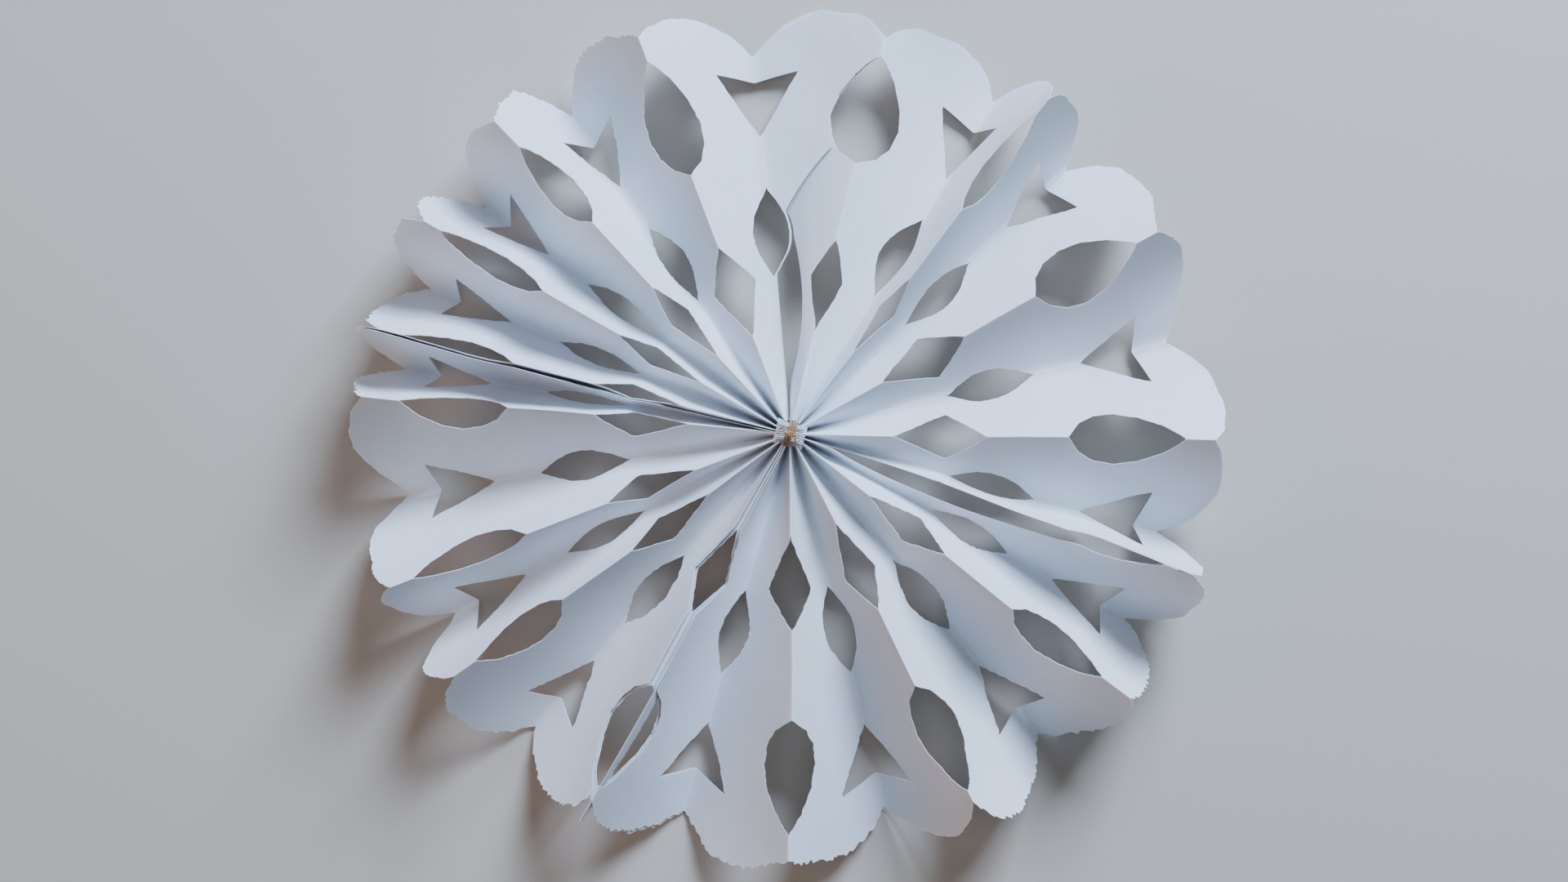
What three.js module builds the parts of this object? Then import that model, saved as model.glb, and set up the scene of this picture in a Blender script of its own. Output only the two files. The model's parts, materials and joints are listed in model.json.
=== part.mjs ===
// Paper snowflake star: two sheets of paper, folded like a fan, cut on their folds,
// tied together at the waist and opened into a full circle of pleats.
// Millimetres, +Z up. The star lies on a table at z = 0 with its waist above the origin.
import * as THREE from 'three';

// ---- the sheets -------------------------------------------------------------------
const SHEET_WIDTH = 210; // a folded strip runs across this width, rim to rim through the waist
const SHEET_LENGTH = 297; // this length is what gets folded into pleats
const PANELS_PER_SHEET = 9; // strips between folds, in each half of a sheet
const PAPER = 0.15; // thickness of one layer
const CREASE_CLEARANCE = 0.5; // from a fold line to the panel's edge, so that two panels can fold shut

// ---- the folds, counter-clockwise from the open seam: mountain, valley, mountain ... ---
const OPENED_AZIMUTHS = [
  -19.3, -14.8, -1, 13.7, 29, 43.6, 52.3, 58.5, 76.5, 95.5, 111,
  124.6, 133.3, 143.4, 150, 158, 165.7, 170.2, 174.8, 189, 201, 208,
  216, 229, 241.2, 254, 270, 283.9, 296.6, 309.5, 322, 331.4, 340.7,
];
const PAPER_RESERVE = 0.96; // the widest pleat is opened no further than this share of what its paper allows

// ---- where each sheet's half starts in that ring, and which of its panels lie doubled ---
const FANS = [
  { name: 'fan_east', firstFold: 0, doubled: [] },
  { name: 'fan_north', firstFold: 8, doubled: [1] },
  { name: 'fan_west', firstFold: 16, doubled: [1] },
  { name: 'fan_south', firstFold: 23, doubled: [1, 2] },
];

// ---- the cut pattern, measured along a fold from the waist or back from the strip's end ---
const MOUNTAIN_RIM_BACK = 6; // the rim's notch on a mountain fold
const VALLEY_RIM_BACK = 9; // the rim's notch on a valley fold
const LOBE_SHARE = 0.57; // the rim's longest point, from the mountain fold to the valley fold
const LOBE_BULGE = 1.1; // how far the rim swells out beyond straight lines
const KITE = { from: 25, widest: 38, to: 47, depth: 7.0 }; // on the mountain fold, near the waist
const SLIT = { fromBack: 66, widestBack: 55, toBack: 44, depth: 4.6 }; // on the valley fold, inside
const LEAF = { fromBack: 39, toBack: 12, depth: 8.8, steps: 7 }; // on the mountain fold, near the rim
const TRIANGLE = { apexBack: 31.5, baseBack: 18.5, cornerBack: 16, depth: 9.6 }; // on the valley fold

// ---- the doubled panels and their glue -----------------------------------------------
const GLUE_FILM = 0.1;
const LAYER_GAP = 0.1; // air between a panel, its glue and the panel laid over it
const OVERLAY_CLEARANCE = 3; // from the valley fold to the edge of a panel laid over another
const OVERLAY_START = 17; // a panel laid over another starts this far from the waist's centre
const GLUE_PATCH = { fromBack: 26, toBack: 18, mountainShare: 0.43, valleyShare: 0.6 };
const RIM_DAB = { width: 0.6, length: 3.2, height: 0.8, lift: 0.5 }; // closes the open seam at the rim

// ---- the tied waist --------------------------------------------------------------------
const WAIST = { length: 4.4, pitch: 0.21, halfHeight: 2.2, turn: -14 }; // one sheet's gathered stack
const WAIST_GAP = 0.3; // between the two sheets' stacks, and from them to the thread
const PANEL_GAP = 1; // from the tied waist to the inner ends of the panels
const THREAD_RADIUS = 0.25;
const TIE = { turns: 3, pitch: 0.62, stepsPerTurn: 24, squareness: 0.4, slack: 0.2 };
const KNOT = { radius: 0.65, widthScale: 1.35, heightScale: 0.85 };
const TAIL = { length: 3.5, droop: 0.9, azimuths: [150, 318] };
const THREAD_SIDES = 8;

const DEGREE = Math.PI / 180;
const stripLength = SHEET_WIDTH / 2;
const panelWidth = SHEET_LENGTH / PANELS_PER_SHEET;
const waistHeight = panelWidth / 2;
const mountainRim = stripLength - MOUNTAIN_RIM_BACK;
const valleyRim = stripLength - VALLEY_RIM_BACK;

const paperMaterial = (colour) =>
  new THREE.MeshStandardMaterial({ color: colour, roughness: 0.88, metalness: 0, side: THREE.DoubleSide });
const glueMaterial = () => new THREE.MeshStandardMaterial({ color: 0xd9d8cf, roughness: 0.35, metalness: 0 });
const threadMaterial = () =>
  new THREE.MeshStandardMaterial({ color: 0xb98d5e, roughness: 0.95, metalness: 0 });

const isMountain = (fold) => fold % 2 === 0;

/** The mean angle from a mountain to the folds beside it. The seam's two edges have one neighbour each. */
function pleatGap(azimuths, fold) {
  const before = azimuths[fold] - azimuths[fold - 1];
  const after = azimuths[fold + 1] - azimuths[fold];
  const gaps = [before, after].filter(Number.isFinite);
  return gaps.reduce((sum, each) => sum + each, 0) / gaps.length;
}

/**
 * The azimuth of every fold. The pleats were opened unevenly. A strip that is narrower for its length has
 * less paper to spread, so its azimuths move towards an even ring until the widest pleat still has enough.
 */
function spreadFolds() {
  const lastFold = OPENED_AZIMUTHS.length - 1;
  const evenGap = 360 / lastFold;
  const mountains = OPENED_AZIMUTHS.map((_, fold) => fold).filter(isMountain);
  const widest = Math.max(...mountains.map((fold) => pleatGap(OPENED_AZIMUTHS, fold)));
  const paperGap = (2 * Math.asin(panelWidth / (mountainRim + valleyRim))) / DEGREE;
  const unevenness = Math.min(1, (PAPER_RESERVE * paperGap - evenGap) / (widest - evenGap));
  return OPENED_AZIMUTHS.map((opened, fold) => {
    const even = OPENED_AZIMUTHS[0] + fold * evenGap;
    return even + unevenness * (opened - even);
  });
}

const foldAzimuths = spreadFolds();

/** How high a mountain fold stands at the rim: what is left of the panel's width after its spread. */
function mountainRise(fold) {
  const halfGap = (pleatGap(foldAzimuths, fold) * DEGREE) / 2;
  const chord = (mountainRim + valleyRim) * Math.sin(halfGap);
  return Math.sqrt(panelWidth ** 2 - chord ** 2);
}

/** The two raw edges of the open seam stand equally high, so that they meet at the rim. */
function seamRise() {
  return (mountainRise(0) + mountainRise(foldAzimuths.length - 1)) / 2;
}

/** Unit vector along a fold, from the waist's centre to the rim. Valleys come down to the table. */
function foldDirection(fold) {
  const atSeam = fold === 0 || fold === foldAzimuths.length - 1;
  const rise = atSeam ? seamRise() : mountainRise(fold);
  const climb = isMountain(fold) ? (rise - waistHeight) / mountainRim : -waistHeight / valleyRim;
  const level = Math.sqrt(1 - climb ** 2);
  const azimuth = foldAzimuths[fold] * DEGREE;
  return new THREE.Vector3(level * Math.cos(azimuth), level * Math.sin(azimuth), climb);
}

/** A panel between two neighbouring folds: its own frame, with X on the mountain fold and Z upwards. */
function panelFrame(fold) {
  const mountain = isMountain(fold) ? fold : fold + 1;
  const valley = isMountain(fold) ? fold + 1 : fold;
  const along = foldDirection(mountain);
  const towardsValley = foldDirection(valley);
  const up = new THREE.Vector3().crossVectors(along, towardsValley).normalize();
  const side = Math.sign(up.z);
  up.multiplyScalar(side);
  const across = new THREE.Vector3().crossVectors(up, along);
  const matrix = new THREE.Matrix4().makeBasis(along, across, up);
  return { matrix, side, angle: along.angleTo(towardsValley) };
}

/** Points of a panel's outline at a distance along one of its two folds and a depth into the paper. */
function panelPoints(frame) {
  const atMountain = (along, depth) => new THREE.Vector2(along, frame.side * depth);
  const atValley = (along, depth) => {
    const cos = Math.cos(frame.angle);
    const sin = Math.sin(frame.angle);
    return new THREE.Vector2(along * cos + depth * sin, frame.side * (along * sin - depth * cos));
  };
  const polar = (radius, share) => {
    const turn = share * frame.angle;
    return new THREE.Vector2(radius * Math.cos(turn), frame.side * radius * Math.sin(turn));
  };
  return { atMountain, atValley, polar };
}

/** Half of a leaf, cut on the mountain fold: its depth follows a sine that leans towards the waist. */
function leafEdge(atMountain, edge) {
  const from = stripLength - LEAF.fromBack;
  const to = stripLength - LEAF.toBack;
  return Array.from({ length: LEAF.steps + 1 }, (_, step) => {
    const share = step / LEAF.steps;
    const depth = LEAF.depth * Math.sin(Math.PI * share ** 0.86);
    return atMountain(from + share * (to - from), Math.max(edge, edge + depth));
  });
}

/** The rim from the mountain fold to the valley fold: two gentle bows that meet at the lobe's tip. */
function rimEdge({ polar }) {
  const bow = (fromRadius, toRadius, fromShare, toShare) =>
    [0.33, 0.67].map((share) => {
      const radius = fromRadius + share * (toRadius - fromRadius) + LOBE_BULGE * Math.sin(Math.PI * share);
      return polar(radius, fromShare + share * (toShare - fromShare));
    });
  return [
    ...bow(mountainRim, stripLength, 0, LOBE_SHARE),
    polar(stripLength, LOBE_SHARE),
    ...bow(stripLength, valleyRim, LOBE_SHARE, 1),
  ];
}

/** The outline of one cut panel. Half of every cut lies on each side of a fold, so here they are notches. */
function panelOutline(frame, innerEnd, mountainEdge, valleyEdge) {
  const points = panelPoints(frame);
  const { atMountain, atValley } = points;
  return new THREE.Shape([
    atMountain(innerEnd, mountainEdge),
    atMountain(KITE.from, mountainEdge),
    atMountain(KITE.widest, KITE.depth),
    atMountain(KITE.to, mountainEdge),
    ...leafEdge(atMountain, mountainEdge),
    atMountain(mountainRim, mountainEdge),
    ...rimEdge(points),
    atValley(valleyRim, valleyEdge),
    atValley(stripLength - TRIANGLE.baseBack, valleyEdge),
    atValley(stripLength - TRIANGLE.cornerBack, TRIANGLE.depth),
    atValley(stripLength - TRIANGLE.apexBack, valleyEdge),
    atValley(stripLength - SLIT.toBack, valleyEdge),
    atValley(stripLength - SLIT.widestBack, Math.max(SLIT.depth, valleyEdge)),
    atValley(stripLength - SLIT.fromBack, valleyEdge),
    atValley(innerEnd, valleyEdge),
  ]);
}

/** A flat plate of a given thickness whose middle lies `lift` above the panel's own plane. */
function plate(outline, thickness, lift) {
  const geometry = new THREE.ExtrudeGeometry(outline, { depth: thickness, bevelEnabled: false });
  geometry.translate(0, 0, lift - thickness / 2);
  return geometry;
}

/** A named mesh in the frame of the panel that starts at `fold`. */
function panelMesh(name, geometry, material, frame) {
  const mesh = new THREE.Mesh(geometry, material);
  mesh.name = name;
  mesh.applyMatrix4(frame.matrix);
  return mesh;
}

/** A patch of dried glue between a panel and the panel that is laid over it. */
function glueOutline({ polar }) {
  const { mountainShare, valleyShare } = GLUE_PATCH;
  const from = stripLength - GLUE_PATCH.fromBack;
  const to = stripLength - GLUE_PATCH.toBack;
  return new THREE.Shape([
    polar(from, mountainShare),
    polar(to, mountainShare),
    polar(to, valleyShare),
    polar(from, valleyShare),
  ]);
}

/** One half of a sheet: nine panels from its first fold on, with the doubled ones laid over the last fan. */
function buildFan({ name, firstFold, doubled }) {
  const fan = new THREE.Group();
  fan.name = name;
  const glueLift = PAPER / 2 + LAYER_GAP + GLUE_FILM / 2;
  const overlayLift = PAPER + 2 * LAYER_GAP + GLUE_FILM;
  for (let panel = 1; panel <= PANELS_PER_SHEET; panel += 1) {
    const frame = panelFrame(firstFold + panel - 1);
    const onTop = doubled.includes(panel);
    const innerEnd = onTop ? OVERLAY_START : waistReach() + PANEL_GAP;
    const valleyEdge = onTop ? OVERLAY_CLEARANCE : CREASE_CLEARANCE;
    const outline = panelOutline(frame, innerEnd, CREASE_CLEARANCE, valleyEdge);
    const geometry = plate(outline, PAPER, onTop ? overlayLift : 0);
    fan.add(panelMesh(`${name}_panel_${panel}`, geometry, paperMaterial(0xe9edf0), frame));
    if (onTop) {
      const film = plate(glueOutline(panelPoints(frame)), GLUE_FILM, glueLift);
      fan.add(panelMesh(`${name}_glue_${panel}`, film, glueMaterial(), frame));
    }
  }
  return fan;
}

/** The dab of glue that holds the seam's two raw edges together at the rim. */
function rimDab() {
  const geometry = new THREE.SphereGeometry(1, 12, 8);
  geometry.scale(RIM_DAB.length / 2, RIM_DAB.width / 2, RIM_DAB.height / 2);
  geometry.translate(0, 0, RIM_DAB.lift);
  const mesh = new THREE.Mesh(geometry, glueMaterial());
  mesh.name = 'seam_glue_dab';
  const along = foldDirection(0);
  const across = new THREE.Vector3(-along.y, along.x, 0).normalize();
  const up = new THREE.Vector3().crossVectors(along, across);
  mesh.applyMatrix4(new THREE.Matrix4().makeBasis(along, across, up));
  mesh.position.copy(along.multiplyScalar(mountainRim - RIM_DAB.length / 2));
  return mesh;
}

/** How far one sheet's stack reaches out from the middle, across its pleats. */
function stackWidth() {
  return WAIST_GAP / 2 + PANELS_PER_SHEET * WAIST.pitch;
}

/** How much the paper's thickness adds above and below the gathered folds. */
function foldShift() {
  const slope = Math.atan2(WAIST.pitch, 2 * WAIST.halfHeight);
  return PAPER / 2 / Math.sin(slope);
}

/** Half sizes of the loop that the thread's middle makes around both stacks. */
function tieHalfSizes() {
  const clear = WAIST_GAP + THREAD_RADIUS + TIE.slack;
  return { across: stackWidth() + clear, up: WAIST.halfHeight + foldShift() + clear };
}

/** The furthest that the stacks and their thread reach out level from the waist's centre. */
function waistReach() {
  const stackCorner = Math.hypot(WAIST.length / 2, stackWidth());
  return Math.max(stackCorner, tieHalfSizes().across + THREAD_RADIUS);
}

/** One sheet's gathered waist: the cross-section is the folded zigzag, drawn out along the stack. */
function sheetWaist(name, side) {
  const shift = foldShift();
  const zigzag = Array.from({ length: PANELS_PER_SHEET + 1 }, (_, fold) => ({
    y: side * (WAIST_GAP / 2 + fold * WAIST.pitch),
    z: isMountain(fold) ? WAIST.halfHeight : -WAIST.halfHeight,
  }));
  const upper = zigzag.map(({ y, z }) => new THREE.Vector2(y, z + shift));
  const lower = zigzag.map(({ y, z }) => new THREE.Vector2(y, z - shift));
  const outline = new THREE.Shape([...upper, ...lower.reverse()]);
  const geometry = new THREE.ExtrudeGeometry(outline, { depth: WAIST.length, bevelEnabled: false });
  geometry.translate(0, 0, -WAIST.length / 2);
  geometry.applyMatrix4(
    new THREE.Matrix4().makeBasis(
      new THREE.Vector3(0, 1, 0),
      new THREE.Vector3(0, 0, 1),
      new THREE.Vector3(1, 0, 0),
    ),
  );
  const mesh = new THREE.Mesh(geometry, paperMaterial(0xdfe3e6));
  mesh.name = name;
  return mesh;
}

/** A round thread along a path, closed at both ends. */
function threadAlong(path, steps) {
  const section = new THREE.Shape();
  section.absarc(0, 0, THREAD_RADIUS, 0, 2 * Math.PI, false);
  return new THREE.ExtrudeGeometry(section, {
    extrudePath: path,
    steps,
    curveSegments: THREAD_SIDES,
    bevelEnabled: false,
  });
}

/** The thread's turns: a rounded square around both stacks, drawn out into a coil along them. */
function tieTurns() {
  const half = tieHalfSizes();
  const rounded = (value) => Math.sign(value) * Math.abs(value) ** TIE.squareness;
  const steps = TIE.turns * TIE.stepsPerTurn;
  const points = Array.from({ length: steps + 1 }, (_, step) => {
    const turn = (step / TIE.stepsPerTurn) * 2 * Math.PI + Math.PI / 2;
    const along = TIE.pitch * (step / TIE.stepsPerTurn - TIE.turns / 2);
    return new THREE.Vector3(along, half.across * rounded(Math.cos(turn)), half.up * rounded(Math.sin(turn)));
  });
  const mesh = new THREE.Mesh(threadAlong(new THREE.CatmullRomCurve3(points), steps), threadMaterial());
  mesh.name = 'thread_tie';
  return mesh;
}

/** The knot sits on top of the turns, with its two cut tails beside it. */
function knotAndTails() {
  const top = tieHalfSizes().up + THREAD_RADIUS + WAIST_GAP + KNOT.radius * KNOT.heightScale;
  const knotGeometry = new THREE.SphereGeometry(KNOT.radius, 14, 10);
  knotGeometry.scale(KNOT.widthScale, 1, KNOT.heightScale);
  const knot = new THREE.Mesh(knotGeometry, threadMaterial());
  knot.name = 'thread_knot';
  knot.position.set(0, 0, top);
  const tails = TAIL.azimuths.map((azimuth, index) => {
    const heading = (azimuth - WAIST.turn) * DEGREE;
    const start = KNOT.radius * KNOT.widthScale + WAIST_GAP;
    const points = [0, 0.35, 0.7, 1].map((share) => {
      const reach = start + share * TAIL.length;
      const height = top + 0.5 * Math.sin(Math.PI * share) - TAIL.droop * share;
      return new THREE.Vector3(reach * Math.cos(heading), reach * Math.sin(heading), height);
    });
    const tail = new THREE.Mesh(threadAlong(new THREE.CatmullRomCurve3(points), 8), threadMaterial());
    tail.name = `thread_tail_${index + 1}`;
    return tail;
  });
  return [knot, ...tails];
}

/** Everything that stays still while the pleats fold. */
function buildWaist() {
  const waist = new THREE.Group();
  waist.name = 'waist';
  waist.rotation.z = WAIST.turn * DEGREE;
  waist.add(sheetWaist('sheet_a_waist', 1));
  waist.add(sheetWaist('sheet_b_waist', -1));
  waist.add(tieTurns());
  waist.add(...knotAndTails());
  return waist;
}

/** The whole star, moved so that the origin is under the middle of its box, on the table. */
function buildStar() {
  const star = new THREE.Group();
  star.name = 'paper_snowflake_star';
  FANS.forEach((fan) => star.add(buildFan(fan)));
  star.add(rimDab());
  star.add(buildWaist());
  star.updateMatrixWorld(true);
  const box = new THREE.Box3().setFromObject(star, true);
  const middle = box.getCenter(new THREE.Vector3());
  star.position.set(-middle.x, -middle.y, -box.min.z);
  return star;
}

export default buildStar();
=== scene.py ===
"""Paper snowflake star: pleated copier paper, cut on its folds, tied at the waist with twine.

Every panel between two folds is one surface worked out on a grid, made in place of its own CAD
node. Lengths are in metres, in the frame of the CAD model.
"""

import json
import logging
import math
from dataclasses import dataclass, field, replace
from enum import Enum
from typing import Any, Sequence

import bpy
import numpy as np
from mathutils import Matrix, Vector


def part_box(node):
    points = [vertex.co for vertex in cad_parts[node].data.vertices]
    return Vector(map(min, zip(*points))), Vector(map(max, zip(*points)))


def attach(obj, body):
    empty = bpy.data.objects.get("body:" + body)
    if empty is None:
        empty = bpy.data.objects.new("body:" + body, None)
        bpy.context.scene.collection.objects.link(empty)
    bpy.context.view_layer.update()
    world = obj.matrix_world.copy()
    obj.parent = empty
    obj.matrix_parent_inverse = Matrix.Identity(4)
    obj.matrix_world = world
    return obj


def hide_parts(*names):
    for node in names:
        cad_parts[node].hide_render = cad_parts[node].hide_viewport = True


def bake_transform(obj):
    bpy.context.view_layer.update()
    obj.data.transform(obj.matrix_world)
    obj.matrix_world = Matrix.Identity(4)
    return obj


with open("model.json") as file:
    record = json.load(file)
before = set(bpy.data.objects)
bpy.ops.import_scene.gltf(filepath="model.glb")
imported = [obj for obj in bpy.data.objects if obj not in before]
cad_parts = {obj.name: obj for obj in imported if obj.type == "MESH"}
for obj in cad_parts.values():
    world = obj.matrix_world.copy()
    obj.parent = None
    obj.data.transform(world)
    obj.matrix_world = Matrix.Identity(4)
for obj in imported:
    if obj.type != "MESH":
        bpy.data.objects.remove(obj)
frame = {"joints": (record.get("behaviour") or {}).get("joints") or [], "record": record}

LOG = logging.getLogger("paper_star")
MM = 0.001
UP = np.array([0.0, 0.0, 1.0])

Material = bpy.types.Material
Piece = bpy.types.Object
Triple = tuple[float, float, float]
Array = np.ndarray


# ---- small tools -------------------------------------------------------------------------


def srgb(code: str) -> tuple[float, float, float, float]:
    """Turn an sRGB hex colour into linear RGBA.

    Args:
        code: The colour as "#rrggbb".

    Returns:
        Linear red, green, blue and an alpha of one.
    """
    channels = [int(code[start : start + 2], 16) / 255 for start in (1, 3, 5)]
    linear = [c / 12.92 if c <= 0.04045 else ((c + 0.055) / 1.055) ** 2.4 for c in channels]
    return (linear[0], linear[1], linear[2], 1.0)


def add_node(
    tree: bpy.types.NodeTree, kind: str, links: dict[Any, Any] | None = None, **settings: Any
) -> bpy.types.Node:
    """Add a shader node with its settings, socket values and incoming links.

    Args:
        tree: The node tree that the node goes into.
        kind: The node's type.
        links: Input socket name or index to an output socket, or to a plain value.
        settings: Properties of the node.

    Returns:
        The new node.
    """
    node = tree.nodes.new(kind)
    for name, value in settings.items():
        setattr(node, name, value)
    for socket, source in (links or {}).items():
        if isinstance(source, bpy.types.NodeSocket):
            tree.links.new(source, node.inputs[socket])
        else:
            node.inputs[socket].default_value = source
    return node


def new_material(name: str) -> tuple[Material, bpy.types.NodeTree, bpy.types.Node]:
    """Make a material, and give it with its node tree and its Principled shader."""
    material = bpy.data.materials.new(name)
    material.use_nodes = True
    return material, material.node_tree, material.node_tree.nodes["Principled BSDF"]


def unit(vectors: Array) -> Array:
    """Scale each vector on the last axis to a length of one."""
    return vectors / np.maximum(np.linalg.norm(vectors, axis=-1, keepdims=True), 1e-12)


def middle_of(box: Sequence[Sequence[float]]) -> Array:
    """The middle of a box, from its low and high corners."""
    low, high = (np.array(corner) for corner in box)
    return (low + high) / 2


def smooth_noise(rng: np.random.Generator, count: int, spacing: float, amplitude: float) -> Array:
    """Make a wandering line: random heights every `spacing` samples, joined by a cosine ease.

    Args:
        rng: The seeded source of the heights.
        count: How many samples the line has.
        spacing: How many samples lie between two random heights.
        amplitude: The largest height, either way.

    Returns:
        The line's heights.
    """
    knots = rng.uniform(-amplitude, amplitude, int(count / spacing) + 3)
    place = np.arange(count) / spacing
    low = place.astype(int)
    ease = 0.5 - 0.5 * np.cos(np.pi * (place - low))
    return knots[low] * (1 - ease) + knots[low + 1] * ease


def make_mesh(name: str, points: Array, quads: Array, sharp_deg: float = 35.0) -> Piece:
    """Build a mesh object at the origin, smooth except at edges sharper than an angle.

    Args:
        name: The object's name.
        points: Vertex positions, one row each.
        quads: Vertex numbers of the faces; a triangle repeats its last number.
        sharp_deg: Edges that turn more than this stay crisp.

    Returns:
        The new object.
    """
    mesh = bpy.data.meshes.new(name)
    faces = [row[:3] if row[2] == row[3] else row for row in quads.tolist()]
    mesh.from_pydata(points.tolist(), [], faces)
    mesh.validate()
    mesh.polygons.foreach_set("use_smooth", np.ones(len(mesh.polygons), bool))
    mesh.set_sharp_from_angle(angle=math.radians(sharp_deg))
    piece = bpy.data.objects.new(name, mesh)
    bpy.context.scene.collection.objects.link(piece)
    return piece


def put_attribute(piece: Piece, name: str, values: Array) -> None:
    """Store one number per vertex on a mesh, for its material to read."""
    layer = piece.data.attributes.new(name, "FLOAT", "POINT")
    layer.data.foreach_set("value", values.astype(np.float32))


def grid_quads(numbers: Array) -> Array:
    """Faces between the neighbouring rows and columns of a table of vertex numbers."""
    corners = (numbers[:-1, :-1], numbers[1:, :-1], numbers[1:, 1:], numbers[:-1, 1:])
    return np.stack(corners, axis=-1).reshape(-1, 4)


def vertex_normals(points: Array, quads: Array) -> Array:
    """Average, at each vertex, of the cross products of its faces' diagonals."""
    first = points[quads[:, 2]] - points[quads[:, 0]]
    second = points[quads[:, 3]] - points[quads[:, 1]]
    face = np.cross(first, second)
    total = np.zeros_like(points)
    for corner in range(4):
        np.add.at(total, quads[:, corner], face)
    return unit(total)


def paper_shell(points: Array, quads: Array, thickness: float) -> tuple[Array, Array]:
    """Give an open sheet its thickness: a front, a back and a wall along every free edge.

    Args:
        points: The sheet's middle surface.
        quads: Its faces, whose normals point to the front.
        thickness: How thick the paper is.

    Returns:
        Points and faces of the closed shell, with the front's points first.
    """
    normals = vertex_normals(points, quads)
    both = np.concatenate([points + normals * thickness / 2, points - normals * thickness / 2])
    count = len(points)
    edges = np.concatenate([quads[:, [side, (side + 1) % 4]] for side in range(4)])
    edges = edges[edges[:, 0] != edges[:, 1]]
    keys = np.sort(edges, axis=1) @ np.array([count, 1])
    _, first, uses = np.unique(keys, return_index=True, return_counts=True)
    free = edges[first[uses == 1]]
    walls = np.stack([free[:, 1], free[:, 0], free[:, 0] + count, free[:, 1] + count], axis=1)
    return both, np.concatenate([quads, quads[:, ::-1] + count, walls])


def sheet_piece(
    name: str, points: Array, quads: Array, thickness: float, material: Material
) -> Piece:
    """Make a thin sheet that faces up.

    Args:
        name: The piece's name.
        points: The sheet's middle surface.
        quads: Its faces, wound either way.
        thickness: How thick it is.
        material: Its material.

    Returns:
        The new object.
    """
    if vertex_normals(points, quads)[:, 2].mean() < 0:
        quads = quads[:, ::-1]
    piece = make_mesh(name, *paper_shell(points, quads, thickness))
    piece.data.materials.append(material)
    return piece


# ---- finishes ----------------------------------------------------------------------------


@dataclass(frozen=True)
class CopierPaper:
    """Uncoated white copier paper: matt, cool white, with a felted fibre surface.

    Light soaks a little way into the sheet, so a thin wall glows softly when it is lit from behind.
    """

    name: str = "uncoated_white_copier_paper_folded_and_cut"
    face: str = "#eef3f9"
    cloudy: str = "#e4ebf4"
    # Paler colour painted along the folds and cut edges: a painted highlight, with wear.
    highlight_and_worn: str = "#fafcfe"
    fibre_mm: float = 0.45
    cloud_mm: float = 6.0
    relief_mm: float = 0.12
    soak_mm: float = 0.8

    def material(self) -> Material:
        """Build the paper: cloudy formation, fibre relief, and folds and cut edges painted paler as
        a highlight, with wear.
        """
        material, tree, shader = new_material(self.name)
        place = add_node(tree, "ShaderNodeTexCoord").outputs["Object"]
        clouds = add_node(
            tree, "ShaderNodeTexNoise",
            {"Vector": place, "Scale": 1 / (self.cloud_mm * MM), "Detail": 4.0, "Roughness": 0.6},
        )
        fibres = add_node(
            tree, "ShaderNodeTexNoise",
            {"Vector": place, "Scale": 1 / (self.fibre_mm * MM), "Detail": 5.0, "Distortion": 1.2},
        )
        # Painted highlight, with wear: the paper turns paler where the fold and edge attribute is
        # high.
        highlight_and_wear = add_node(tree, "ShaderNodeAttribute", attribute_name="fold_highlight_and_wear")
        formation = add_node(
            tree, "ShaderNodeMix",
            {"Factor": clouds.outputs[0], 6: srgb(self.cloudy), 7: srgb(self.face)},
            data_type="RGBA",
        )
        coloured = add_node(
            tree, "ShaderNodeMix",
            {"Factor": highlight_and_wear.outputs["Fac"], 6: formation.outputs[2], 7: srgb(self.highlight_and_worn)},
            data_type="RGBA",
        )
        relief = add_node(
            tree, "ShaderNodeMath",
            {0: fibres.outputs[0], 1: clouds.outputs[0]},
            operation="ADD",
        )
        bump = add_node(
            tree, "ShaderNodeBump",
            {"Height": relief.outputs[0], "Strength": 0.22, "Distance": self.relief_mm * MM},
        )
        tree.links.new(coloured.outputs[2], shader.inputs["Base Color"])
        tree.links.new(bump.outputs[0], shader.inputs["Normal"])
        shader.inputs["Roughness"].default_value = 0.82
        shader.inputs["IOR"].default_value = 1.47
        shader.inputs["Specular IOR Level"].default_value = 0.25
        shader.inputs["Subsurface Weight"].default_value = 0.15
        shader.inputs["Subsurface Radius"].default_value = (1.0, 0.95, 0.9)
        shader.inputs["Subsurface Scale"].default_value = self.soak_mm * MM
        return material


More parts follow.
